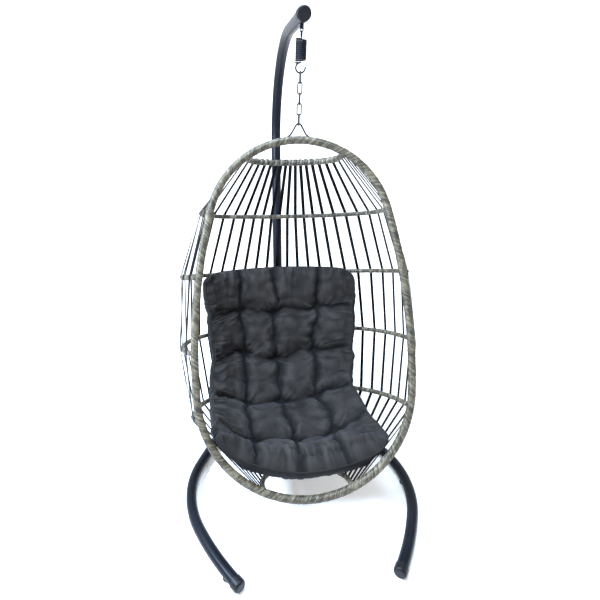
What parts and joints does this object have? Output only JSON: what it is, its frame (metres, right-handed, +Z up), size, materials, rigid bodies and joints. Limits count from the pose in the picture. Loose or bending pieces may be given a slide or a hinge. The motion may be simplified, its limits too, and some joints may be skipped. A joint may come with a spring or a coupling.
{
  "type": "hanging egg chair",
  "caption": "Egg-shaped hanging chair of wrapped hoops and flat straps with a tufted pad, hung by a spring and chain from a curved tube stand.",
  "frame": {"origin": "on the floor, straight below the point that the chair hangs from, 10 mm from the centre of the footprint", "axes": "+Z up, the chair faces -Y, +X to the right of someone looking at its front"},
  "size_m": [0.97, 1.3998, 1.8772],
  "materials": {
    "black_coat": "satin black powder coat on steel",
    "black_plastic": "moulded, slightly shiny",
    "pad_rubber": "plain matt rubber",
    "zinc_steel": "zinc plated",
    "chain_steel": "black coated steel links",
    "ring_core": "plain drawn tube under the wrapping",
    "cane": "greige plastic cane, wound tightly round the tube",
    "strap": "flat black plastic strap",
    "cushion_cloth": "charcoal woven outdoor cloth"
  },
  "bodies": {
    "stand": {"base_left_leg": "black_coat", "base_right_leg": "black_coat", "base_hub": "black_coat", "leg_end_cap_left": "black_plastic", "leg_end_cap_right": "black_plastic", "floor_pads": "pad_rubber", "post_lower": "black_coat", "post_upper": "black_coat", "arm_end_cap": "black_plastic", "arm_lug": "black_coat", "hub_bolts": "zinc_steel", "hub_nuts": "zinc_steel", "post_screw": "zinc_steel"},
    "spring_upper": {"spring_top_hook": "black_coat", "spring_coil": "black_coat"},
    "spring_lower": {"spring_bottom_hook": "black_coat"},
    "chain_1": {"chain_link_1": "chain_steel"},
    "chain_2": {"chain_link_2": "chain_steel"},
    "chain_3": {"chain_link_3": "chain_steel"},
    "chain_4": {"chain_link_4": "chain_steel"},
    "chain_5": {"chain_link_5": "chain_steel"},
    "basket": {"hanger": "black_coat", "ring_tube": "ring_core", "ring_wrap": "cane", "hoop_rods": "black_coat", "hoop_wrap_1": "cane", "hoop_wrap_2": "cane", "hoop_wrap_3": "cane", "hoop_wrap_4": "cane", "hoop_wrap_5": "cane", "hoop_wrap_6": "cane", "back_straps": "strap", "cushion": "cushion_cloth"}
  },
  "joints": [
    {"name": "side_swing", "type": "hinge", "parent": "stand", "child": "spring_upper", "pos_m": [0, 0, 1.803], "axis": [0, 1, 0], "range_deg": [-8, 8]},
    {"name": "spring_stretch", "type": "slide", "parent": "spring_upper", "child": "spring_lower", "axis": [0, 0, -1], "range_m": [0, 0.035], "stiffness_N_per_m": 22000, "springref_m": -0.016, "deforming": ["spring_coil"]},
    {"name": "fore_aft_swing", "type": "hinge", "parent": "spring_lower", "child": "chain_1", "pos_m": [0, 0, 1.6625], "axis": [1, 0, 0], "range_deg": [-15, 3.5]},
    {"name": "link_2_lean", "type": "hinge", "parent": "chain_1", "child": "chain_2", "pos_m": [0, 0, 1.6284], "axis": [0, 1, 0], "range_deg": [-6, 6]},
    {"name": "chain_twist", "type": "hinge", "parent": "chain_2", "child": "chain_3", "pos_m": [0, 0, 1.5729], "axis": [0, 0, 1], "range_deg": [-20, 20]},
    {"name": "link_4_lean", "type": "hinge", "parent": "chain_3", "child": "chain_4", "pos_m": [0, 0, 1.5542], "axis": [0, 1, 0], "range_deg": [-6, 6]},
    {"name": "link_5_nod", "type": "hinge", "parent": "chain_4", "child": "chain_5", "pos_m": [0, 0, 1.5171], "axis": [1, 0, 0], "range_deg": [-8, 1.5]},
    {"name": "basket_lean", "type": "hinge", "parent": "chain_5", "child": "basket", "pos_m": [0, 0, 1.48], "axis": [0, 1, 0], "range_deg": [-6, 6]}
  ]
}
